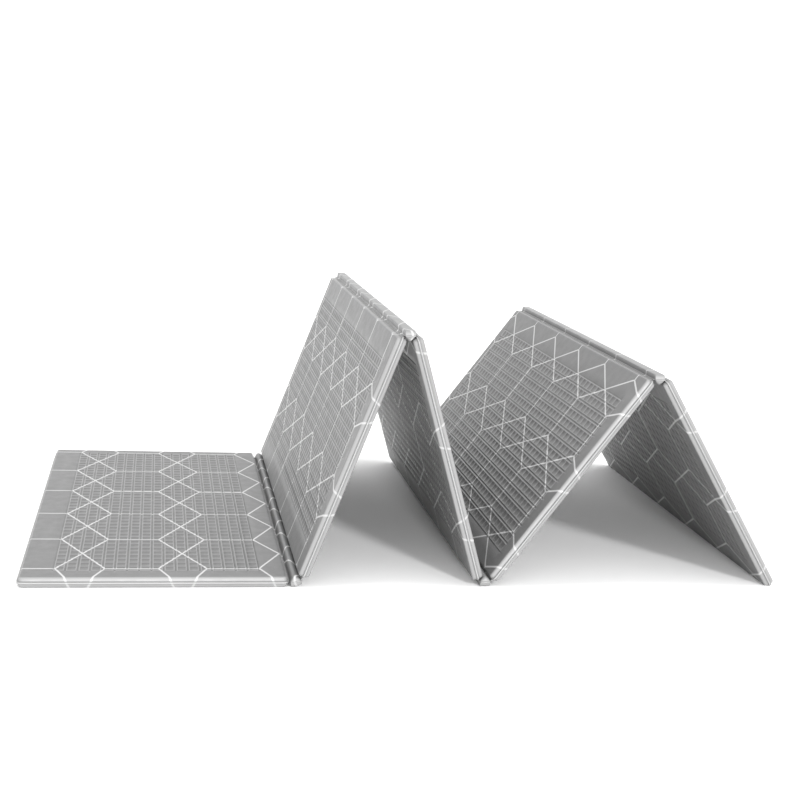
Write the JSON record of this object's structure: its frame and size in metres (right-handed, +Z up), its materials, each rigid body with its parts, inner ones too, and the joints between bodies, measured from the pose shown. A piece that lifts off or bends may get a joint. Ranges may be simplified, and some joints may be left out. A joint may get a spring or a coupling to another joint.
{
  "type": "folding baby play mat",
  "caption": "Folding foam play mat standing in a zigzag: bevelled panels joined by narrow hinge bars and strips of welded film.",
  "frame": {"origin": "on the floor, below the middle of the mat's bounding box", "axes": "+X along the zigzag, from the panel that lies flat to the last one; +Y along the folds, away from the viewer; +Z up"},
  "size_m": [1.1408, 0.74, 0.3831],
  "materials": {
    "printed_foam": "mid-grey embossed film over soft foam, satin, with thin off-white printed lines",
    "welded_film": "pressed grey film, satin, a little lighter than the panels"
  },
  "bodies": {
    "root": {"panel_1": "printed_foam", "panel_2": "printed_foam", "panel_3": "printed_foam", "panel_4": "printed_foam", "panel_5": "printed_foam", "hinge_bar_1": "printed_foam", "hinge_bar_2": "printed_foam", "hinge_bar_3": "printed_foam", "hinge_bar_4": "printed_foam", "film_web_1a": "welded_film", "film_web_1b": "welded_film", "film_web_2a": "welded_film", "film_web_2b": "welded_film", "film_web_3a": "welded_film", "film_web_3b": "welded_film", "film_web_4a": "welded_film", "film_web_4b": "welded_film"}
  },
  "joints": []
}
